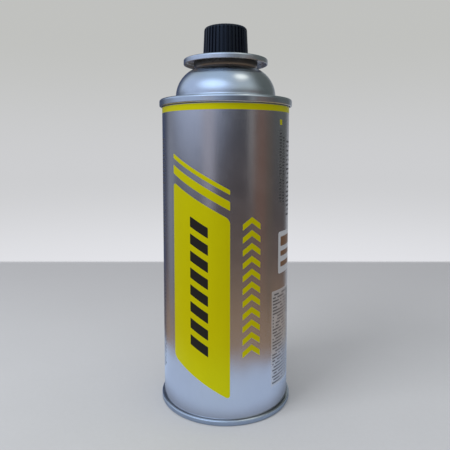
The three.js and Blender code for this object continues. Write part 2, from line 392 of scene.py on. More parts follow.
# Finishes: a noise runs the roughness from the first value to the second, and darker to colour
tinplate = {
    "darker": (0.485, 0.48, 0.495),
    "colour": (0.65, 0.64, 0.645),
    "roughness": (0.16, 0.28),
    "inkedRoughness": 0.34,
    "streaks": 3.2,
    "relief": 0.00006,
    "reliefStrength": 0.6,
}
bareFinish = {
    "darker": (0.45, 0.495, 0.54),
    "colour": (0.6, 0.655, 0.7),
    "roughness": (0.2, 0.28),
    "marks": 0.03,
    "streaks": 5.0,
    "relief": 0.000008,
    "reliefStrength": 0.25,
}
pressed = {"marks": 0.0, "relief": 0.00003, "reliefStrength": 0.4}
collarFinish = {
    **pressed,
    "darker": (0.5084, 0.5412, 0.574),
    "colour": (0.62, 0.66, 0.7),
    "roughness": (0.2, 0.3),
    "streaks": 4.0,
}
cupFinish = {
    **pressed,
    "darker": (0.3444, 0.3198, 0.287),
    "colour": (0.42, 0.39, 0.35),
    "roughness": (0.24, 0.34),
    "streaks": 5.0,
}
capFinish = {
    "darker": (0.0018, 0.0026, 0.006),
    "colour": (0.004, 0.0052, 0.0105),
    "roughness": (0.2, 0.28),
    "mottle": (140.0, 2.0, 0.5),  # scale, detail and roughness of a noise
    "pores": (1800.0, 2.0, 0.6),
    "relief": 0.00002,
    "reliefStrength": 0.5,
    "settings": {"Specular IOR Level": 0.27, "Specular Tint": (0.72, 0.86, 1.0, 1.0)},
}
stemFinish = {
    "darker": (0.74, 0.73, 0.69),
    "colour": (0.8, 0.79, 0.75),
    "roughness": (0.36, 0.46),
    "mottle": (900.0, 2.0, 0.5),
    "pores": (900.0, 2.0, 0.5),
    "relief": 0.00001,
    "reliefStrength": 0.4,
    "settings": {"Subsurface Weight": 0.1, "Subsurface Scale": 0.002},
}
gasketFinish = {
    "darker": (0.02, 0.02, 0.02),
    "colour": (0.035, 0.034, 0.033),
    "roughness": (0.62, 0.78),
    "mottle": (1400.0, 3.0, 0.6),
    "pores": (1400.0, 3.0, 0.6),
    "relief": 0.00003,
    "reliefStrength": 0.6,
    "settings": {},
}

# Inks, and how far each covers the metal below it
ink = {
    "yellow": (0.6, 0.57, 0.0),
    "yellowDeep": (0.55, 0.52, 0.0),
    "yellowSheen": 0.42,  # how much of the metal's own gloss the yellow lets through
    "pale": (0.55, 0.57, 0.6),
    "paleSheen": 0.25,
    "panelCover": 0.6,
    "brown": (0.2, 0.11, 0.06),
    "black": (0.014, 0.013, 0.011),
    "seamShadeCover": 0.85,
    "grey": (0.028, 0.028, 0.032),
    "ruledCover": 0.94,
    "ruledDulling": 0.75,
    "weldCover": 0.55,
    "specular": 0.15,
    "thickness": 0.25,  # the ink's own share of the relief
    "grainRelief": 0.8,
}

# Places of the print on the wall: millimetres around it from the front, positive to the right, and heights
layout = {
    "slope": -0.55,  # all slanted edges fall to the right
    "field": {"middle": -13.4, "height": 64.5, "halfWidth": 15.4, "halfHeight": 43.5, "corner": 2.2},
    "stripes": [
        {"height": 114.2, "halfHeight": 2.1, "corner": 0.5},
        {"height": 120.6, "halfHeight": 1.1, "corner": 0.5},
    ],
    "bars": {"middle": -13.2, "halfWidth": 4.7, "halfHeight": 2.5, "corner": 0.3},
    "barRows": (34.0, 8.2, 8),  # where the first row begins, the pitch and the count
    "chevrons": {"middle": 12.6, "halfWidth": 4.6, "halfHeight": 1.45, "corner": 0.25},
    "chevronRows": (34.5, 6.15, 11),
    "chevronSlope": -0.75,
    "band": {"low": 150.4, "high": 153.3, "corner": 0.1},
    "seamShade": (153.3, 153.55),  # painted shade: black in the corner under the top seam, where the seam's shadow falls
    "bandEnd": (4.4, 4.6),  # from the weld
    "weldLine": (0.6, 0.35),
    "gapShare": 0.16,  # of the ruled lines' length
    "ruleCorner": 0.1,
}

# Blocks of plain ruled lines on both sides of the wall, broken at random; runs counts them per millimetre
ruledBlocks = [
    {"from": 25.6, "to": 62.0, "low": 15.0, "high": 62.0, "pitch": 1.6, "half": 0.38, "runs": 0.714},
    {"from": 30.2, "to": 32.4, "low": 106.0, "high": 142.0, "pitch": 1.5, "half": 0.45, "runs": 1.53},
    {"from": 33.4, "to": 35.6, "low": 104.0, "high": 139.0, "pitch": 1.5, "half": 0.45, "runs": 1.53},
    {"from": 38.5, "to": 62.0, "low": 98.0, "high": 139.0, "pitch": 2.3, "half": 0.5, "runs": 0.595},
    {"from": -62.0, "to": -39.5, "low": 84.0, "high": 139.0, "pitch": 2.0, "half": 0.5, "runs": 0.646},
    {"from": -62.0, "to": -39.5, "low": 18.0, "high": 70.0, "pitch": 2.0, "half": 0.5, "runs": 0.646},
]
paleBlock = {"middle": 46.0, "height": 81.0, "halfWidth": 16.2, "halfHeight": 10.5, "corner": 1.2}
palePanel = {"middle": 46.0, "height": 38.4, "halfWidth": 21.2, "halfHeight": 24.2, "corner": 0.6}
brownBars = [
    {"middle": 46.0, "height": height, "halfWidth": 14.0, "halfHeight": half, "corner": 0.6}
    for height, half in ((86.5, 2.4), (80.4, 1.3), (75.0, 1.3))
]
yellowTab = {"middle": 31.4, "height": 145.2, "halfWidth": 1.1, "halfHeight": 1.3, "corner": 0.3}


def repeated(tree, value, first, pitch, count):
    # The place inside one of the repeats, and a mask that holds as many repeats as are wanted
    shifted = minus(tree, value, first)
    inside = minus(tree, calc(tree, "FLOORED_MODULO", shifted, pitch), pitch / 2)
    above = calc(tree, "GREATER_THAN", shifted, 0.0)
    below = calc(tree, "LESS_THAN", shifted, pitch * count)
    return inside, times(tree, above, below)


def shapeMask(tree, across, up, shape):
    sizes = {"Half Width": shape["halfWidth"], "Half Height": shape["halfHeight"], "Corner": shape["corner"]}
    return useGroup(tree, printedShape, Across=across, Up=up, **sizes)["Mask"]


def anyOf(tree, *masks):
    result = masks[0]
    for mask in masks[1:]:
        result = calc(tree, "MAXIMUM", result, mask)
    return result


def ruledMask(tree, around, height, block):
    middle, half = (block["from"] + block["to"]) / 2, (block["to"] - block["from"]) / 2
    rows = int((block["high"] - block["low"]) / block["pitch"])
    inside, held = repeated(tree, height, block["low"], block["pitch"], rows)
    aboveLow = minus(tree, height, block["low"])
    row = calc(tree, "FLOOR", calc(tree, "DIVIDE", aboveLow, block["pitch"]))
    run = calc(tree, "FLOOR", times(tree, around, block["runs"]))
    chance = put(tree, "ShaderNodeTexWhiteNoise", noise_dimensions="2D")
    feed(tree, chance.inputs["Vector"], triple(tree, run, row, 0.0))
    filled = calc(tree, "GREATER_THAN", chance.outputs["Value"], layout["gapShare"])
    across = minus(tree, around, middle)
    rule = {"halfWidth": half, "halfHeight": block["half"], "corner": layout["ruleCorner"]}
    line = shapeMask(tree, across, inside, rule)
    return times(tree, times(tree, line, held), filled)


def patchMask(tree, around, height, patch):
    across = minus(tree, around, patch["middle"])
    up = minus(tree, height, patch["height"])
    return shapeMask(tree, across, up, patch)


def fieldMask(tree, around, height):
    # The slanted field with the stripes above it
    field = layout["field"]
    across = minus(tree, around, field["middle"])
    slanted = minus(tree, height, times(tree, around, layout["slope"]))
    masks = []
    for shape in [field, *layout["stripes"]]:
        up = minus(tree, slanted, shape["height"] - layout["slope"] * field["middle"])
        masks.append(shapeMask(tree, across, up, {**field, **shape}))
    return anyOf(tree, *masks)


def rowsMask(tree, across, up, shape, rows):
    # The same shape over and over, one above the other
    inside, held = repeated(tree, up, *rows)
    return times(tree, shapeMask(tree, across, inside, shape), held)


def chevronMask(tree, around, height):
    across = minus(tree, around, layout["chevrons"]["middle"])
    folded = times(tree, calc(tree, "ABSOLUTE", across), layout["chevronSlope"])
    up = minus(tree, height, folded)
    return rowsMask(tree, across, up, layout["chevrons"], layout["chevronRows"])


def barMask(tree, around, height):
    across = minus(tree, around, layout["bars"]["middle"])
    up = minus(tree, height, times(tree, across, layout["slope"]))
    return rowsMask(tree, across, up, layout["bars"], layout["barRows"])


def bandMask(tree, height, fromWeld):
    # The yellow band runs round the wall and stops short of the weld on both sides
    band = layout["band"]
    half = (band["high"] - band["low"]) / 2
    up = minus(tree, height, band["low"] + half)
    mask = shapeMask(tree, 0.0, up, {"halfWidth": wallRadius, "halfHeight": half, "corner": band["corner"]})
    return times(tree, mask, fade(tree, fromWeld, *layout["bandEnd"]))


def makePrintedTinplate():
    material, tree, shader, position = startMaterial("printedTinplate")
    place = useGroup(tree, placeOnCan, Position=position)
    around, height = place["Around"], place["Height"]
    fromWeld = minus(tree, math.pi * wallRadius, calc(tree, "ABSOLUTE", around))

    yellow = anyOf(
        tree,
        fieldMask(tree, around, height),
        chevronMask(tree, around, height),
        bandMask(tree, height, fromWeld),
        patchMask(tree, around, height, yellowTab),
    )
    pale = patchMask(tree, around, height, paleBlock)
    panel = times(tree, patchMask(tree, around, height, palePanel), ink["panelCover"])
    palest = anyOf(tree, pale, panel)
    brown = anyOf(tree, *[patchMask(tree, around, height, bar) for bar in brownBars])
    black = barMask(tree, around, height)
    ruled = anyOf(tree, *[ruledMask(tree, around, height, block) for block in ruledBlocks])
    # Painted shade: a black line fades in under the top seam and dulls the metal there
    seamShade = fade(tree, height, *layout["seamShade"])
    weldLine = fade(tree, fromWeld, *layout["weldLine"])

    sheet = {"Across": around, "Along": height, "Streaks": tinplate["streaks"]}
    grain = useGroup(tree, sheetGrain, Position=position, **sheet)
    steel = blendColour(tree, grain["Shade"], tinplate["darker"], tinplate["colour"])
    yellowInk = blendColour(tree, grain["Clouds"], ink["yellowDeep"], ink["yellow"])
    layers = [
        (yellow, yellowInk),
        (palest, ink["pale"]),
        (brown, ink["brown"]),
        (black, ink["black"]),
        (times(tree, ruled, ink["ruledCover"]), ink["grey"]),
        (times(tree, seamShade, ink["seamShadeCover"]), ink["black"]),
        (times(tree, weldLine, ink["weldCover"]), ink["grey"]),
    ]
    colour = steel
    for mask, layer in layers:
        colour = blendColour(tree, mask, colour, layer)
    tree.links.new(colour, shader.inputs["Base Color"])

    inked = anyOf(tree, yellow, black, pale, ruled)
    shine = blendValue(tree, yellow, 1.0, ink["yellowSheen"])
    shine = blendValue(tree, palest, shine, ink["paleSheen"])
    dull = anyOf(tree, black, seamShade, times(tree, ruled, ink["ruledDulling"]))
    tree.links.new(blendValue(tree, dull, shine, 0.0), shader.inputs["Metallic"])
    shader.inputs["Specular IOR Level"].default_value = ink["specular"]
    bare = blendValue(tree, grain["Clouds"], *tinplate["roughness"])
    tree.links.new(blendValue(tree, inked, bare, tinplate["inkedRoughness"]), shader.inputs["Roughness"])
    grainRelief = times(tree, grain["Height"], ink["grainRelief"])
    relief = calc(tree, "ADD", grainRelief, times(tree, inked, ink["thickness"]))
    relief = calc(tree, "ADD", relief, weldLine)
    bump(tree, shader, relief, tinplate["relief"], tinplate["reliefStrength"])
    return material


def makeSheetSteel(name, finish, paintedShade=None):
    material, tree, shader, position = startMaterial(name)
    place = useGroup(tree, placeOnCan, Position=position)
    spun = {"Across": place["Radius"], "Along": place["Around"], "Streaks": finish["streaks"]}
    grain = useGroup(tree, sheetGrain, Position=position, **spun)
    colour = blendColour(tree, grain["Shade"], finish["darker"], finish["colour"])
    shader.inputs["Metallic"].default_value = 1.0
    # Painted shade: above a height and outside a radius, the colour runs to black and the metal turns dull
    if paintedShade:
        above = fade(tree, place["Height"], paintedShade["height"], paintedShade["height"] + paintedShade["heightFade"])
        outside = fade(tree, place["Radius"], paintedShade["radius"], paintedShade["radius"] + paintedShade["radiusFade"])
        shadeMask = times(tree, times(tree, above, outside), paintedShade["cover"])
        colour = blendColour(tree, shadeMask, colour, ink["black"])
        tree.links.new(blendValue(tree, shadeMask, 1.0, paintedShade["metallic"]), shader.inputs["Metallic"])
    tree.links.new(colour, shader.inputs["Base Color"])
    rough = blendValue(tree, grain["Clouds"], *finish["roughness"])
    marks = times(tree, grain["Marks"], finish["marks"])
    tree.links.new(calc(tree, "ADD", rough, marks), shader.inputs["Roughness"])
    bump(tree, shader, grain["Height"], finish["relief"], finish["reliefStrength"])
    return material


def makeMoulded(name, finish):
    material, tree, shader, position = startMaterial(name)
    mottle = noise(tree, position, *finish["mottle"])
    colour = blendColour(tree, mottle, finish["darker"], finish["colour"])
    tree.links.new(colour, shader.inputs["Base Color"])
    tree.links.new(blendValue(tree, mottle, *finish["roughness"]), shader.inputs["Roughness"])
    for socket, value in finish["settings"].items():
        shader.inputs[socket].default_value = value
    pores = noise(tree, position, *finish["pores"])
    bump(tree, shader, pores, finish["relief"], finish["reliefStrength"])
    return material


printedTinplate = makePrintedTinplate()
bareTinplate = makeSheetSteel("bareTinplate", bareFinish)
collarSteel = makeSheetSteel("collarSteel", collarFinish)
capPlastic = makeMoulded("capPlastic", capFinish)
stemPlastic = makeMoulded("stemPlastic", stemFinish)
gasketRubber = makeMoulded("gasketRubber", gasketFinish)
print("materials built")

# The sealed can: wall, two double seams, base panel, countersink, dome and mouth curl
can = {
    "columns": 256,
    "wallHeight": 153.8,
    "seamWidth": 2.6,
    "seamCorner": 0.7,
    "topSeamCorner": 1.15,
    "footSeamHeight": 2.6,
    "topSeamHeight": 3.7,
    "crevice": 0.28,  # width of the gap between each seam's folded edge and the wall
    "creviceDepth": 0.7,
    "creviceCorner": 0.25,
    "wallRun": 0.5,  # plain wall that each seam's profile takes in
    "wallTolerance": 0.05,
    "basePanelHeight": 3.4,
    "baseCrown": 4.6,
    "baseSteps": 14,
    "basePanelFillet": 1.2,
    "countersinkDepth": 4.2,
    "countersinkWidth": 2.6,
    "countersinkDraft": 0.4,
    "countersinkFillet": 1.0,
    "domeRadius": 25.9,
    "domeArcRadius": 15.4,
    "domeShoulderDrop": 0.3,
    "domeShoulderCorner": 0.5,
    "domeFootFillet": 1.8,
    "domeFootSteps": 9,
    "domeSteps": 26,
    "mouthRadius": 13.15,
    "curlWidth": 2.45,
    "curlCorner": 0.9,
    "cupGap": 0.3,
    "stemWellRadius": 3.5,
    "stemWellDepth": 2.4,  # below the stem's flange
}
seamTop = can["wallHeight"] + can["topSeamHeight"]
domeFoot = seamTop - can["domeShoulderDrop"] + can["domeFootFillet"]  # height of the dome's arc centre
domeOffset = can["domeRadius"] - can["domeArcRadius"]


def domeHeight(radius):
    return domeFoot + math.sqrt(can["domeArcRadius"] ** 2 - (radius - domeOffset) ** 2)


def basePath():
    edge = seamRadius - can["seamWidth"]
    panel = edge - can["basePanelFillet"]
    bowl = (panel**2 + can["baseCrown"] ** 2) / (2 * can["baseCrown"])
    centre = (0.0, can["basePanelHeight"] + can["baseCrown"] - bowl)
    lean = math.degrees(math.asin(panel / bowl))
    return edge, arcPath(centre, bowl, 90, 90 - lean, can["baseSteps"])


def footPath(edge, panelEnd):
    corner, top = can["seamCorner"], can["footSeamHeight"]
    gap = wallRadius + can["crevice"]
    return roundedPath(
        [
            tuple(panelEnd),
            (edge, can["basePanelHeight"], can["basePanelFillet"]),
            (edge, 0.0, corner),
            (seamRadius, 0.0, corner),
            (seamRadius, top, corner),
            (gap, top, can["creviceCorner"]),
            (gap, top - can["creviceDepth"]),
            (wallRadius, top - can["creviceDepth"]),
            (wallRadius, top + can["wallRun"]),
        ]
    )


def topPath():
    corner, low = can["seamCorner"], can["wallHeight"]
    gap = wallRadius + can["crevice"]
    inner = seamRadius - can["seamWidth"]
    sinkOuter = inner - can["countersinkDraft"]
    sinkInner = sinkOuter - can["countersinkWidth"]
    floor = seamTop - can["countersinkDepth"]
    shoulder = seamTop - can["domeShoulderDrop"]
    fillet = can["countersinkFillet"]
    seam = roundedPath(
        [
            (wallRadius, low - can["wallRun"]),
            (wallRadius, low + can["creviceDepth"]),
            (gap, low + can["creviceDepth"]),
            (gap, low, can["creviceCorner"]),
            (seamRadius, low, corner),
            (seamRadius, seamTop, can["topSeamCorner"]),
            (inner, seamTop, corner),
            (sinkOuter, floor, fillet),
            (sinkInner, floor, fillet),
            (sinkInner, shoulder, can["domeShoulderCorner"]),
            (can["domeRadius"] + can["domeFootFillet"], shoulder),
        ]
    )
    filletCentre = (can["domeRadius"] + can["domeFootFillet"], domeFoot)
    footFillet = arcPath(filletCentre, can["domeFootFillet"], -90, -180, can["domeFootSteps"])
    curlRadius = can["mouthRadius"] + can["curlWidth"]
    neck = math.degrees(math.acos((curlRadius - domeOffset) / can["domeArcRadius"]))
    dome = arcPath((domeOffset, domeFoot), can["domeArcRadius"], 0, neck, can["domeSteps"])
    return seam + footFillet[1:] + dome[1:]


def mouthPath():
    curlRadius = can["mouthRadius"] + can["curlWidth"]
    pocket = cupUnderside - can["cupGap"]
    well = can["stemWellRadius"]
    wellFloor = stemLow - can["stemWellDepth"]
    return roundedPath(
        [
            (curlRadius, domeHeight(curlRadius)),
            (curlRadius, curlTop, can["curlCorner"]),
            (can["mouthRadius"], curlTop, can["curlCorner"]),
            (can["mouthRadius"], pocket),
            (gasketRadius, pocket),
            (gasketRadius, gasketLow),
            (well, gasketLow),
            (well, wellFloor),
            (0.0, wellFloor),
        ]
    )


def makeCan():
    edge, panel = basePath()
    path = panel[:-1] + footPath(edge, panel[-1]) + topPath() + mouthPath()[1:]
    shell = revolve("canShell", supported(path), can["columns"])
    shell.data.materials.append(bareTinplate)
    shell.data.materials.append(printedTinplate)
    printed = shell.data.materials.find(printedTinplate.name)
    low, high = can["footSeamHeight"] - can["creviceDepth"], can["wallHeight"] + can["creviceDepth"]
    for face in shell.data.polygons:
        place = face.center / mm
        offWall = abs(math.hypot(place.x, place.y) - wallRadius)
        if offWall < can["wallTolerance"] and low < place.z < high:
            face.material_index = printed
    smooth(shell)
    finishPiece(shell, "canister", "can")


makeCan()

# Valve cup: a bead wrapped over the mouth curl, a recess, and a pedestal for the stem
cup = {
    "columns": 192,
    "sheet": 0.5,
    "beadRadius": 16.4,
    "beadTop": 177.531,
    "beadCorner": 0.9,
    "beadGap": 0.3,  # between the bead's lower edge and the dome
    "beadRoll": 0.45,  # how far that edge turns in
    "beadRollHeight": 1.1,
    "beadRollCorner": 1.2,
    "radius": 12.35,
    "mouthCorner": 0.4,
    "floorFillet": 0.9,
    "pedestalRadius": 5.2,
    "pedestalFillet": 0.5,
    "pedestalCorner": 0.8,
    "stemHoleRadius": 2.3,
    "stemHoleCorner": 0.12,
}
# Painted shade: the cup runs to black and loses its shine in the corner under the collar, where the collar's
# shadow falls
cupShadeUnderCollar = {
    "height": collarLow - 2.2,
    "heightFade": 1.4,
    "radius": cup["radius"] + 1.0,
    "radiusFade": 0.3,
    "cover": 0.85,
    "metallic": 0.2,
}
cupSteel = makeSheetSteel("cupSteel", cupFinish, cupShadeUnderCollar)


def makeCup():
    sheet, floor = cup["sheet"], cupUnderside + cup["sheet"]
    beadLow = domeHeight(cup["beadRadius"]) + cup["beadGap"]
    path = roundedPath(
        [
            (cup["beadRadius"] - cup["beadRoll"], beadLow),
            (cup["beadRadius"], beadLow + cup["beadRollHeight"], cup["beadRollCorner"]),
            (beadShoulder, cup["beadTop"], cup["beadCorner"]),
            (cup["radius"], cup["beadTop"], cup["mouthCorner"]),
            (cup["radius"], floor, cup["floorFillet"]),
            (cup["pedestalRadius"], floor, cup["pedestalFillet"]),
            (cup["pedestalRadius"], pedestalTop, cup["pedestalCorner"]),
            (cup["stemHoleRadius"], pedestalTop, cup["stemHoleCorner"]),
            (cup["stemHoleRadius"], gasketTop),
            (cup["pedestalRadius"] - sheet, gasketTop),
            (cup["pedestalRadius"] - sheet, cupUnderside),
            (cup["radius"] + sheet, cupUnderside),
            (cup["radius"] + sheet, cup["beadTop"] - sheet),
            (cup["beadRadius"] - sheet, cup["beadTop"] - sheet),
            (cup["beadRadius"] - sheet, beadLow + cup["beadRollHeight"]),
            (cup["beadRadius"] - sheet - cup["beadRoll"], beadLow),
        ],
        loop=True,
    )
    shell = revolve("cupShell", supported(path, loop=True), cup["columns"], loop=True)
    shell.data.materials.append(cupSteel)
    smooth(shell)
    finishPiece(shell, "canister", "valve_cup")


makeCup()

# Locating collar: a pressed ring with a turned-down rim and one notch at the back
collar = {
    "columns": 256,
    "innerRadius": 12.35,
    "sheet": 0.7,
    "corner": 0.8,
    "underCorner": 0.3,
    "rimInnerCorner": 0.15,
    "rimOuterCorner": 0.25,
    "innerCorner": 0.2,
    "notchWidth": 10.0,
    "notchDepth": 4.4,
    "notchCorner": 1.0,
    "notchSteps": 6,
}


def makeCollar():
    sheet = collar["sheet"]
    inside = collarRadius - sheet
    path = roundedPath(
        [
            (collar["innerRadius"], collarTop - sheet),
            (inside, collarTop - sheet, collar["underCorner"]),
            (inside, collarLow, collar["rimInnerCorner"]),
            (collarRadius, collarLow, collar["rimOuterCorner"]),
            (collarRadius, collarTop, collar["corner"]),
            (collar["innerRadius"], collarTop, collar["innerCorner"]),
        ],
        loop=True,
    )
    ring = revolve("collarRing", supported(path, loop=True), collar["columns"], loop=True)
    ring.data.materials.append(collarSteel)

    punch = bmesh.new()
    bmesh.ops.create_cube(punch, size=1.0)
    height = collarTop - collarLow
    scale = Vector((collar["notchWidth"], 2 * collar["notchDepth"], 2 * height)) * mm
    bmesh.ops.scale(punch, vec=scale, verts=punch.verts)
    middle = Vector((0, collarRadius, collarTop - height / 2)) * mm
    bmesh.ops.translate(punch, vec=middle, verts=punch.verts)
    upright = [edge for edge in punch.edges if abs((edge.verts[0].co - edge.verts[1].co).z) > height * mm]
    bmesh.ops.bevel(
        punch,
        geom=upright,
        offset=collar["notchCorner"] * mm,
        segments=collar["notchSteps"],
        affect="EDGES",
        profile=0.5,
    )
    tool = bpy.data.objects.new("notchPunch", bpy.data.meshes.new("notchPunch"))
    punch.to_mesh(tool.data)
    punch.free()
    bpy.context.collection.objects.link(tool)
    cut = ring.modifiers.new("notch", "BOOLEAN")
    cut.operation, cut.solver, cut.object = "DIFFERENCE", "EXACT", tool
    baked(ring)
    bpy.data.objects.remove(tool)
    smooth(ring)
    finishPiece(ring, "canister", "collar")


makeCollar()

# Gasket and valve stem: the rubber ring inside the pedestal, and the tube that stands out of it
gasket = {"columns": 96, "corner": 0.15}
stem = {
    "columns": 96,
    "radius": 2.0,
    "boreRadius": 0.9,
    "boreDepth": 5.0,
    "chamfer": 0.35,
    "edge": 0.2,
    "flangeThickness": 1.4,
}


def makeGasket():
    hole = cup["stemHoleRadius"]
    corners = [(hole, gasketLow), (gasketRadius, gasketLow), (gasketRadius, gasketTop), (hole, gasketTop)]
    path = roundedPath([(*corner, gasket["corner"]) for corner in corners], loop=True)
    ring = revolve("gasketRing", path, gasket["columns"], loop=True)
    ring.data.materials.append(gasketRubber)
    smooth(ring)
    finishPiece(ring, "canister", "stem_gasket")


def makeStem():
    flangeTop = stemLow + stem["flangeThickness"]
    chamfer, edge = stem["chamfer"], stem["edge"]
    path = roundedPath(
        [
            (0.0, stemLow),
            (flangeRadius, stemLow, chamfer),
            (flangeRadius, flangeTop, edge),
            (stem["radius"], flangeTop, edge),
            (stem["radius"], stemTop, chamfer),
            (stem["boreRadius"], stemTop, edge),
            (stem["boreRadius"], stemTop - stem["boreDepth"]),
            (0.0, stemTop - stem["boreDepth"]),
        ]
    )
    tube = revolve("stemTube", path, stem["columns"])
    tube.data.materials.append(stemPlastic)
    smooth(tube)
    finishPiece(tube, "valve_stem", "valve_stem")


makeGasket()
makeStem()

# Cap: a tapering cup upside down, whose ribs run out over its rounded top edge
cap = {
    "ribs": 36,
    "columnsPerRib": 16,
    "ribDepth": 0.6,
    "crestShare": 0.5,
    "flankShare": 0.1,
    "lowRadius": 12.0,
    "taper": 1.0,
    "wall": 1.6,
    "roof": 1.7,
    "corner": 1.7,
    "cornerSteps": 12,
    "roofFillet": 0.8,
    "mouthFlare": (0.25, 0.3),  # outwards and up
    "leadIn": 0.8,
    "leadInBulge": (0.3, 0.35),  # inwards and up, in shares of the lead-in
    "wallSupport": 0.3,
    "lip": 0.6,  # from the corner's inner end to the dish
    "lipSupport": 0.1,
    "dish": 0.22,
    "dishWall": 0.4,
    "dishCorner": 0.3,
    "gateRadius": 1.1,
    "gateDraft": 0.1,
    "gateDrop": 0.05,
    "gateFillet": 0.1,
    "gateCorner": 0.08,
    "sharpAngle": 40,
}


def capRibTree():
    # Pulls the wall in between the ribs; the point attribute ribWeight says how much
    tree = bpy.data.node_groups.new("capRibs", "GeometryNodeTree")
    tree.is_modifier = True
    face = tree.interface
    face.new_socket(name="Geometry", in_out="INPUT", socket_type="NodeSocketGeometry")
    for label in ("Rib Count", "Rib Depth", "Crest Share", "Flank Share"):
        face.new_socket(name=label, in_out="INPUT", socket_type="NodeSocketFloat")
    face.new_socket(name="Plastic", in_out="INPUT", socket_type="NodeSocketMaterial")
    face.new_socket(name="Geometry", in_out="OUTPUT", socket_type="NodeSocketGeometry")
    given = put(tree, "NodeGroupInput").outputs

    position = put(tree, "GeometryNodeInputPosition").outputs[0]
    x, y, _ = separated(tree, position)
    turn = calc(tree, "DIVIDE", angleFromFront(tree, x, y), 2 * math.pi)
    pitches = times(tree, turn, given["Rib Count"])
    fromCrest = calc(tree, "ABSOLUTE", minus(tree, pitches, calc(tree, "ROUND", pitches)))
    crestEdge = times(tree, given["Crest Share"], 0.5)
    valley = fade(tree, fromCrest, crestEdge, calc(tree, "ADD", crestEdge, given["Flank Share"]))
    weight = put(tree, "GeometryNodeInputNamedAttribute", data_type="FLOAT")
    weight.inputs["Name"].default_value = "ribWeight"
    depth = times(tree, times(tree, valley, weight.outputs[0]), given["Rib Depth"])
    outward = put(tree, "ShaderNodeVectorMath", operation="NORMALIZE")
    feed(tree, outward.inputs[0], triple(tree, x, y, 0.0))
    inward = put(tree, "ShaderNodeVectorMath", operation="SCALE")
    feed(tree, inward.inputs[0], outward.outputs[0])
    feed(tree, inward.inputs["Scale"], times(tree, depth, -1.0))

    moved = put(tree, "GeometryNodeSetPosition")
    feed(tree, moved.inputs["Geometry"], given["Geometry"])
    feed(tree, moved.inputs["Offset"], inward.outputs[0])
    real = put(tree, "GeometryNodeRealizeInstances")
    feed(tree, real.inputs["Geometry"], moved.outputs[0])
    painted = put(tree, "GeometryNodeSetMaterial")
    feed(tree, painted.inputs["Geometry"], real.outputs[0])
    feed(tree, painted.inputs["Material"], given["Plastic"])
    feed(tree, put(tree, "NodeGroupOutput").inputs["Geometry"], painted.outputs[0])
    return tree


def addTree(piece, tree, **values):
    modifier = piece.modifiers.new(tree.name, "NODES")
    modifier.node_group = tree
    for item in tree.interface.items_tree:
        if item.in_out == "INPUT" and item.name in values:
            modifier[item.identifier] = values[item.name]


def makeCap():
    low, corner = cap["lowRadius"], cap["corner"]
    top = low - cap["taper"]
    cornerLow = capTop - corner

    def radiusAt(z):
        return low - cap["taper"] * (z - capLow) / (capTop - capLow)

    flare, flareHeight = cap["mouthFlare"]
    inside = roundedPath(
        [
            (0.0, capTop - cap["roof"]),
            (top - cap["wall"], capTop - cap["roof"], cap["roofFillet"]),
            (low - cap["wall"], capLow + flareHeight),
            (low - cap["wall"] + flare, capLow),
        ]
    )
    leadIn, support = cap["leadIn"], cap["wallSupport"]
    leadInTop = capLow + leadIn
    bulgeIn, bulgeUp = cap["leadInBulge"]
    outside = [
        Vector((low - leadIn, capLow)),
        Vector((low - leadIn * bulgeIn, capLow + leadIn * bulgeUp)),
        Vector((radiusAt(leadInTop), leadInTop)),
    ]
    outside += [Vector((radiusAt(z), z)) for z in (leadInTop + support, cornerLow - support)]
    rim = radiusAt(cornerLow) - corner
    outside += arcPath((rim, cornerLow), corner, 0, 90, cap["cornerSteps"])
    dishFloor, gateTop = capTop - cap["dish"], capTop - cap["gateDrop"]
    outside += roundedPath(
        [
            (rim - cap["lipSupport"], capTop),
            (rim - cap["lip"], capTop, cap["dishCorner"]),
            (rim - cap["lip"] - cap["dishWall"], dishFloor, cap["dishCorner"]),
            (cap["gateRadius"], dishFloor, cap["gateFillet"]),
            (cap["gateRadius"] - cap["gateDraft"], gateTop, cap["gateCorner"]),
            (0.0, gateTop),
        ]
    )

    def ribWeight(z):
        lean = min(max((z - cornerLow) / corner, 0.0), 1.0)
        return 1.0 - math.degrees(math.asin(lean)) / 90

    weights = [0.0] * len(inside) + [ribWeight(point.y) if point.x > rim else 0.0 for point in outside]
    shell = revolve("capShell", inside + outside, cap["ribs"] * cap["columnsPerRib"], weights=weights)
    addTree(
        shell,
        capRibTree(),
        **{
            "Rib Count": float(cap["ribs"]),
            "Rib Depth": cap["ribDepth"] * mm,
            "Crest Share": cap["crestShare"],
            "Flank Share": cap["flankShare"],
            "Plastic": capPlastic,
        },
    )
    baked(shell)
    smooth(shell, cap["sharpAngle"])
    finishPiece(shell, "cap", "cap")


makeCap()

# Floor, light and surroundings
studio = {
    "floorHalf": 2.5,
    "floorBack": 0.301,  # the floor's far edge
    "floorFade": 0.012,
    "floorShown": (0.52, 0.535, 0.56),
    "floorFar": (0.43, 0.435, 0.455),
    # As metal mirrors it, the floor is bluish, painted light for window light, and darker near the can,
    # painted shade
    "floorMirrored": (0.55, 0.69, 0.95),
    "floorMirroredShade": (0.3, 0.35, 0.45),
    "mirroredReach": 0.094,  # metal mirrors the floor out to here, and softer surroundings past it
    "keyPower": 7.0,
    "keyPlace": (-0.7, -0.5, 0.8),
    "keySize": 0.6,
    "keyAim": (0, 0, 0.09),
}
floorFinish = {
    "clouds": (9.0, 4.0, 0.55),  # scale, detail and roughness of each noise
    "cloudShades": (0.93, 1.05),
    "grit": (420.0, 3.0, 0.6),
    "gritCover": 0.12,
    "gritColour": (0.3, 0.3, 0.3),
    "roughness": 0.75,
    "relief": 0.0002,
    "reliefStrength": 0.25,
    "farFrom": -0.05,  # the far colour comes in between here and the far edge
    "mirroredNear": (0.034, 0.05),  # radii over which the mirrored floor goes from painted shade near the can to its bluish colour
    "waves": (15.0, 1.0, 0.5),
    "waveShift": 0.04,  # how far the waves move the reach's edge
    "reachFade": (0.006, 0.034),
}


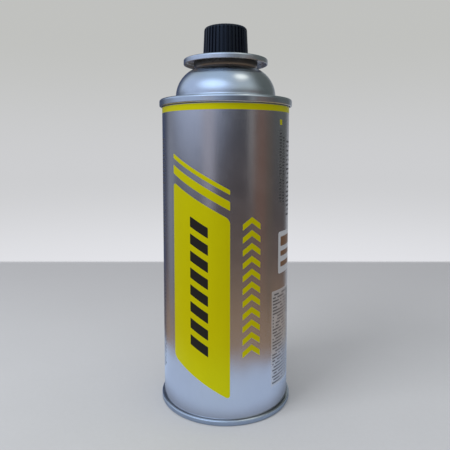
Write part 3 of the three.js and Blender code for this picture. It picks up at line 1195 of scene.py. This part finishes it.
def makeFloor():
    half, back = studio["floorHalf"], studio["floorBack"]
    mesh = bpy.data.meshes.new("floor")
    outline = [(-half, -half, 0), (half, -half, 0), (half, back, 0), (-half, back, 0)]
    mesh.from_pydata(outline, [], [(0, 1, 2, 3)])
    floor = bpy.data.objects.new("floor", mesh)
    bpy.context.collection.objects.link(floor)

    material, tree, shader, position = startMaterial("floorFinish")
    x, y, _ = separated(tree, position)
    cloud = noise(tree, position, *floorFinish["clouds"])
    grit = noise(tree, position, *floorFinish["grit"])
    shown = [tuple(part * shade for part in studio["floorShown"]) for shade in floorFinish["cloudShades"]]
    colour = blendColour(tree, cloud, *shown)
    colour = blendColour(tree, fade(tree, y, floorFinish["farFrom"], back), colour, studio["floorFar"])
    gritty = times(tree, grit, floorFinish["gritCover"])
    colour = blendColour(tree, gritty, colour, floorFinish["gritColour"])
    path = put(tree, "ShaderNodeLightPath")
    far = hypotenuse(tree, x, y)
    # Painted light and shade: glossy rays see the floor bluish, and darker near the can
    shadeToLit = fade(tree, far, *floorFinish["mirroredNear"])
    mirroredFloor = blendColour(tree, shadeToLit, studio["floorMirroredShade"], studio["floorMirrored"])
    colour = blendColour(tree, path.outputs["Is Glossy Ray"], colour, mirroredFloor)
    tree.links.new(colour, shader.inputs["Base Color"])
    shader.inputs["Roughness"].default_value = floorFinish["roughness"]
    bump(tree, shader, grit, floorFinish["relief"], floorFinish["reliefStrength"])

    waves = noise(tree, position, *floorFinish["waves"])
    wavy = calc(tree, "ADD", far, times(tree, waves, floorFinish["waveShift"]))
    pastReach = fade(tree, wavy, *[studio["mirroredReach"] + past for past in floorFinish["reachFade"]])
    pastReach = times(tree, pastReach, path.outputs["Is Glossy Ray"])
    nearEdge = fade(tree, y, back - studio["floorFade"], back)
    pastEdge = times(tree, nearEdge, path.outputs["Is Camera Ray"])
    clear = put(tree, "ShaderNodeBsdfTransparent")
    choose = put(tree, "ShaderNodeMixShader")
    feed(tree, choose.inputs[0], anyOf(tree, pastReach, pastEdge))
    tree.links.new(shader.outputs[0], choose.inputs[1])
    tree.links.new(clear.outputs[0], choose.inputs[2])
    tree.links.new(choose.outputs[0], tree.nodes["Material Output"].inputs["Surface"])
    mesh.materials.append(material)


makeFloor()


def makeKey():
    data = bpy.data.lights.new("key", "AREA")
    data.energy, data.size = studio["keyPower"], studio["keySize"]
    key = bpy.data.objects.new("key", data)
    key.location = studio["keyPlace"]
    key.rotation_euler = (Vector(studio["keyAim"]) - key.location).to_track_quat("-Z", "Y").to_euler()
    key.visible_glossy = False
    bpy.context.collection.objects.link(key)


makeKey()

# What the metal mirrors: a soft vertical gradient with a few pale and dark sheets hung round the can.
# Directions are degrees: turn from the front, positive to the right, and rise above level.
# A sheet's wide and high are its half sizes, and soft is the share of them that fades on each side.
ambient = 0.78
mirrored = [
    {"rise": -90, "colour": (0.4, 0.38, 0.37)},
    {"rise": -21.5, "colour": (0.4, 0.28, 0.19)},
    {"rise": -13, "colour": (0.13, 0.1, 0.095)},
    {"rise": -4, "colour": (0.08, 0.075, 0.085)},
    {"rise": 7.5, "colour": (0.045, 0.055, 0.085)},
    {"rise": 12.5, "colour": (0.3, 0.32, 0.33)},
    {"rise": 26, "colour": (0.62, 0.68, 0.7)},
    {"rise": 64, "colour": (0.4, 0.43, 0.43)},
]
sheets = [
    {"turn": -45, "rise": 79, "wide": 110, "high": 42, "soft": 0.8, "colour": (0.56, 0.7, 0.9)},
    {"turn": -61, "rise": 26, "wide": 73, "high": 26, "soft": 0.4, "colour": (0.63, 0.74, 1.0)},
    {"turn": -32, "rise": 36, "wide": 34, "high": 15, "soft": 0.6, "colour": (1.3, 1.6, 2.15)},
    {"turn": 122, "rise": 28, "wide": 46, "high": 30, "soft": 0.4, "colour": (0.13, 0.145, 0.14)},
    {"turn": 60, "rise": 61, "wide": 25, "high": 10, "soft": 0.4, "colour": (1.7, 1.7, 1.6)},
    {"turn": 44, "rise": 47, "wide": 16, "high": 3, "soft": 0.6, "colour": (0.9, 0.9, 0.88)},
    {"turn": -30, "rise": 3, "wide": 11, "high": 12, "soft": 0.5, "colour": (0.46, 0.47, 0.57)},
    {"turn": -115, "rise": -5, "wide": 14, "high": 15, "soft": 0.6, "colour": (0.28, 0.31, 0.39)},
    {"turn": 46, "rise": 4, "wide": 6, "high": 9, "soft": 0.5, "colour": (0.32, 0.32, 0.33)},
    {"turn": 64, "rise": -4, "wide": 14, "high": 15, "soft": 0.35, "colour": (0.19, 0.12, 0.1)},
    {"turn": 84, "rise": -4, "wide": 8, "high": 16, "soft": 0.6, "colour": (0.13, 0.11, 0.095)},
    {"turn": 160, "rise": -16, "wide": 18, "high": 30, "soft": 0.6, "colour": (0.42, 0.44, 0.48)},
    {"turn": -160, "rise": 11, "wide": 26, "high": 40, "soft": 0.5, "colour": (0.07, 0.09, 0.16)},
]
backdrop = [
    {"rise": -15, "colour": (0.77, 0.775, 0.81)},
    {"rise": -3, "colour": (0.61, 0.615, 0.63)},
    {"rise": 13, "colour": (0.53, 0.535, 0.52)},
    {"rise": 43, "colour": (0.44, 0.45, 0.44)},
]


def gradient(tree, rise, steps):
    colour = steps[0]["colour"]
    for low, high in zip(steps, steps[1:]):
        colour = blendColour(tree, fade(tree, rise, low["rise"], high["rise"]), colour, high["colour"])
    return colour


def makeWorld():
    world = bpy.data.worlds.new("surroundings")
    bpy.context.scene.world = world
    world.use_nodes = True
    tree = world.node_tree
    shine = tree.nodes["Background"]
    x, y, z = separated(tree, put(tree, "ShaderNodeTexCoord").outputs["Generated"])
    turn = calc(tree, "DEGREES", angleFromFront(tree, x, y))
    rise = calc(tree, "DEGREES", calc(tree, "ARCSINE", z))

    seen = gradient(tree, rise, mirrored)
    for sheet in sheets:
        aside = calc(tree, "WRAP", minus(tree, turn, sheet["turn"]), 180.0, -180.0)
        aside = calc(tree, "DIVIDE", aside, sheet["wide"])
        above = calc(tree, "DIVIDE", minus(tree, rise, sheet["rise"]), sheet["high"])
        away = hypotenuse(tree, aside, above)
        mask = fade(tree, away, 1.0 + sheet["soft"], 1.0 - sheet["soft"])
        seen = blendColour(tree, mask, seen, sheet["colour"])

    path = put(tree, "ShaderNodeLightPath")
    colour = blendColour(tree, path.outputs["Is Glossy Ray"], (ambient, ambient, ambient), seen)
    colour = blendColour(tree, path.outputs["Is Camera Ray"], colour, gradient(tree, rise, backdrop))
    tree.links.new(colour, shine.inputs["Color"])
    shine.inputs["Strength"].default_value = 1.0


makeWorld()
bpy.context.scene.view_settings.view_transform = "Standard"
print("floor, light and surroundings set")
